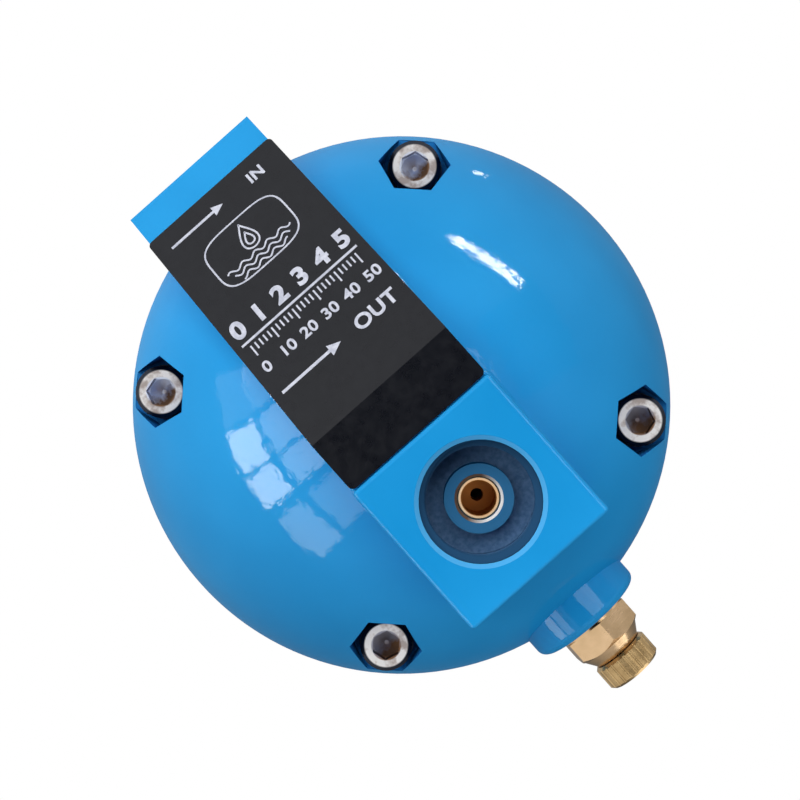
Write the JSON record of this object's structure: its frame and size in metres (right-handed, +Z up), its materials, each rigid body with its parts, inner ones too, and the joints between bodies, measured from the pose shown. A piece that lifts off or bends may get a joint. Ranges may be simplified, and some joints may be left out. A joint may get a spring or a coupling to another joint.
{
  "type": "automatic drain valve",
  "caption": "Float-operated automatic condensate drain: a cast ball housing with a threaded inlet on top, a threaded outlet in front and a manual drain screw below.",
  "frame": {"origin": "on the inlet port's axis, where its full thread starts, 0.8 mm inside the inlet face", "axes": "+Z up out of the inlet port, -Y out of the outlet port at the front, +X to the right seen from the front"},
  "size_m": [0.11, 0.122, 0.1305],
  "materials": {
    "housing_paint": "cast, under gloss blue paint",
    "rubber": "matte",
    "bolt_steel": "bright zinc",
    "label": "satin",
    "brass": "turned",
    "stainless": "rolled"
  },
  "bodies": {
    "housing": {"front_shell": "housing_paint", "rear_shell": "housing_paint", "shell_seal": "rubber", "shell_bolts": "bolt_steel", "lock_washers": "bolt_steel", "nut_washers": "bolt_steel", "shell_nuts": "bolt_steel", "label_plate": "label", "outlet_nozzle": "brass", "nozzle_ring": "rubber", "lever_bracket": "stainless", "bracket_screws": "bolt_steel", "pivot_pin": "stainless", "pin_clips": "stainless", "drain_washer": "brass", "drain_body": "brass"},
    "float_lever": {"lever_arm": "stainless", "plug_holder": "brass", "valve_plug": "rubber", "float_front_half": "stainless", "float_rear_half": "stainless", "float_stud": "stainless", "float_nut": "stainless"},
    "drain_seal": {"drain_tip": "rubber"},
    "drain_screw": {"drain_spindle": "brass", "drain_ring": "rubber", "drain_knob": "brass"}
  },
  "joints": [
    {"name": "float_swing", "type": "hinge", "parent": "housing", "child": "float_lever", "pos_m": [0, -0.0139, -0.0672], "axis": [1, 0, 0], "range_deg": [0, 22]},
    {"name": "drain_lift", "type": "slide", "parent": "housing", "child": "drain_seal", "axis": [0, 0, -1], "range_m": [0, 0.00242]},
    {"name": "drain_turn", "type": "hinge", "parent": "drain_seal", "child": "drain_screw", "pos_m": [0, 0.004, -0.1242], "axis": [0, 0, -1], "range_deg": [0, 1080]}
  ],
  "couplings": [
    {"joint": "drain_lift", "follows": "drain_turn", "m_per_rad": 0.00012732}
  ]
}
